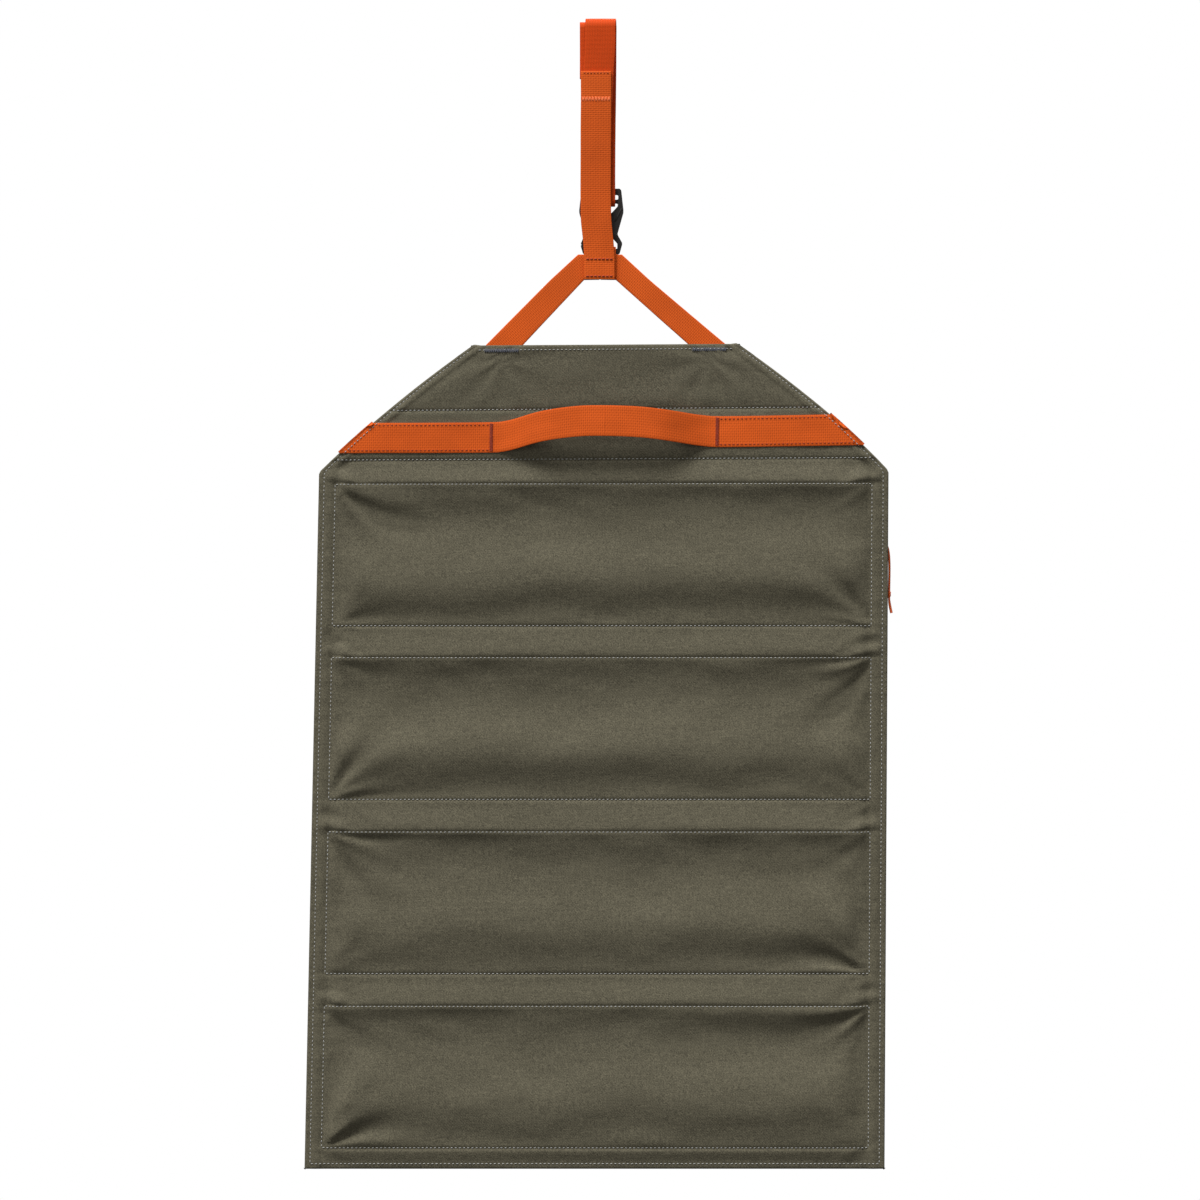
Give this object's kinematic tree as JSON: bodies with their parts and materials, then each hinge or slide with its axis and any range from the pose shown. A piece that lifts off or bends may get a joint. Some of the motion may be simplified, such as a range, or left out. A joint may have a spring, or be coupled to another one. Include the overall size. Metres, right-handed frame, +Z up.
{
  "type": "kitchen utensil roll",
  "caption": "Hanging cloth utensil roll with zipped mesh pockets, folding panels, a carrying handle and a webbing loop with a snap hook.",
  "frame": {"origin": "inner top of the hanging loop's crown, where a rod, branch or peg bears", "axes": "+Z up along the hanging roll, +X to the right as seen from its outer face, +Y from the outer cloth to the pocket side"},
  "size_m": [0.4792, 0.0252, 0.943],
  "materials": {
    "cover_cloth": "olive drab twill",
    "lining_cloth": "plain weave",
    "mesh_cloth": "knitted mesh",
    "webbing": "ribbed orange webbing",
    "hook_plastic": "moulded, satin",
    "pin_steel": "plain",
    "batten_plastic": "plain sheet",
    "zip_tape": "woven tape and coil",
    "zip_metal": "painted die casting",
    "pull_cord": "braided cord"
  },
  "bodies": {
    "strap": {"strap_front": "webbing", "strap_top": "webbing", "yoke": "webbing", "clip_loop": "webbing"},
    "hook": {"snap_hook": "hook_plastic", "gate_pin": "pin_steel"},
    "gate": {"hook_gate": "hook_plastic"},
    "flap": {"flap_cover": "cover_cloth", "flap_lining": "lining_cloth", "yoke_end_left": "webbing", "yoke_end_right": "webbing"},
    "handle_band": {"handle_band_cover": "cover_cloth", "handle_band_lining": "lining_cloth", "batten": "batten_plastic", "handle_end_left": "webbing", "handle_end_right": "webbing", "handle_flex_left": "webbing", "handle_flex_right": "webbing"},
    "handle": {"handle_grip": "webbing"},
    "panel_1": {"panel_cover_1": "cover_cloth", "panel_lining_1": "lining_cloth", "pocket_top_1": "lining_cloth", "pocket_mesh_1": "mesh_cloth", "zipper_1": "zip_tape", "fold_band_1": "cover_cloth"},
    "slider_1": {"zip_slider_1": "zip_metal"},
    "pull_1": {"zip_pull_1": "pull_cord"},
    "panel_2": {"panel_cover_2": "cover_cloth", "panel_lining_2": "lining_cloth", "pocket_top_2": "lining_cloth", "pocket_mesh_2": "mesh_cloth", "zipper_2": "zip_tape", "fold_band_2": "cover_cloth"},
    "slider_2": {"zip_slider_2": "zip_metal"},
    "pull_2": {"zip_pull_2": "pull_cord"},
    "panel_3": {"panel_cover_3": "cover_cloth", "panel_lining_3": "lining_cloth", "pocket_top_3": "lining_cloth", "pocket_mesh_3": "mesh_cloth", "zipper_3": "zip_tape", "fold_band_3": "cover_cloth"},
    "slider_3": {"zip_slider_3": "zip_metal"},
    "pull_3": {"zip_pull_3": "pull_cord"},
    "panel_4": {"panel_cover_4": "cover_cloth", "panel_lining_4": "lining_cloth", "pocket_top_4": "lining_cloth", "pocket_mesh_4": "mesh_cloth", "zipper_4": "zip_tape"},
    "slider_4": {"zip_slider_4": "zip_metal"},
    "pull_4": {"zip_pull_4": "pull_cord"}
  },
  "joints": [
    {"name": "hook_rock", "type": "hinge", "parent": "strap", "child": "hook", "pos_m": [0, 0.0034, -0.148], "axis": [1, 0, 0], "range_deg": [-3, 6], "deforming": ["clip_loop"]},
    {"name": "gate_open", "type": "hinge", "parent": "hook", "child": "gate", "pos_m": [-0.011, 0.0034, -0.1723], "axis": [0, -1, 0], "range_deg": [0, 22], "stiffness_Nm_per_rad": 0.02, "springref_deg": -8.59},
    {"name": "flap_swing", "type": "hinge", "parent": "strap", "child": "flap", "pos_m": [0, 0.0006, -0.2675], "axis": [-1, 0, 0], "range_deg": [-90, 90]},
    {"name": "handle_band_fold", "type": "hinge", "parent": "flap", "child": "handle_band", "pos_m": [0, 0.0027, -0.319], "axis": [1, 0, 0], "range_deg": [0, 90]},
    {"name": "handle_swing", "type": "hinge", "parent": "handle_band", "child": "handle", "pos_m": [0, -0.0023, -0.345], "axis": [1, 0, 0], "range_deg": [-15, 90], "deforming": ["handle_flex_left", "handle_flex_right"]},
    {"name": "panel_1_fold", "type": "hinge", "parent": "handle_band", "child": "panel_1", "pos_m": [0, 0.0019, -0.36], "axis": [1, 0, 0], "range_deg": [0, 90]},
    {"name": "fold_1", "type": "hinge", "parent": "panel_1", "child": "panel_2", "pos_m": [0, 0.0129, -0.5092], "axis": [1, 0, 0], "range_deg": [0, 180], "deforming": ["fold_band_1"]},
    {"name": "fold_2", "type": "hinge", "parent": "panel_2", "child": "panel_3", "pos_m": [0, 0.0087, -0.6519], "axis": [1, 0, 0], "range_deg": [0, 180], "deforming": ["fold_band_2"]},
    {"name": "fold_3", "type": "hinge", "parent": "panel_3", "child": "panel_4", "pos_m": [0, 0.0045, -0.7946], "axis": [1, 0, 0], "range_deg": [0, 180], "deforming": ["fold_band_3"]},
    {"name": "zip_1", "type": "slide", "parent": "panel_1", "child": "slider_1", "axis": [1, 0, 0], "range_m": [-0.424, 0]},
    {"name": "pull_1", "type": "hinge", "parent": "slider_1", "child": "pull_1", "pos_m": [0.212, 0.0048, -0.4202], "axis": [-1, 0, 0], "range_deg": [-160, 0]},
    {"name": "zip_2", "type": "slide", "parent": "panel_2", "child": "slider_2", "axis": [-1, 0, 0], "range_m": [-0.424, 0]},
    {"name": "pull_2", "type": "hinge", "parent": "slider_2", "child": "pull_2", "pos_m": [-0.212, 0.0048, -0.5629], "axis": [-1, 0, 0], "range_deg": [-160, 0]},
    {"name": "zip_3", "type": "slide", "parent": "panel_3", "child": "slider_3", "axis": [1, 0, 0], "range_m": [-0.424, 0]},
    {"name": "pull_3", "type": "hinge", "parent": "slider_3", "child": "pull_3", "pos_m": [0.212, 0.0048, -0.7056], "axis": [-1, 0, 0], "range_deg": [-160, 0]},
    {"name": "zip_4", "type": "slide", "parent": "panel_4", "child": "slider_4", "axis": [-1, 0, 0], "range_m": [-0.424, 0]},
    {"name": "pull_4", "type": "hinge", "parent": "slider_4", "child": "pull_4", "pos_m": [-0.212, 0.0048, -0.8483], "axis": [-1, 0, 0], "range_deg": [-160, 0]}
  ]
}
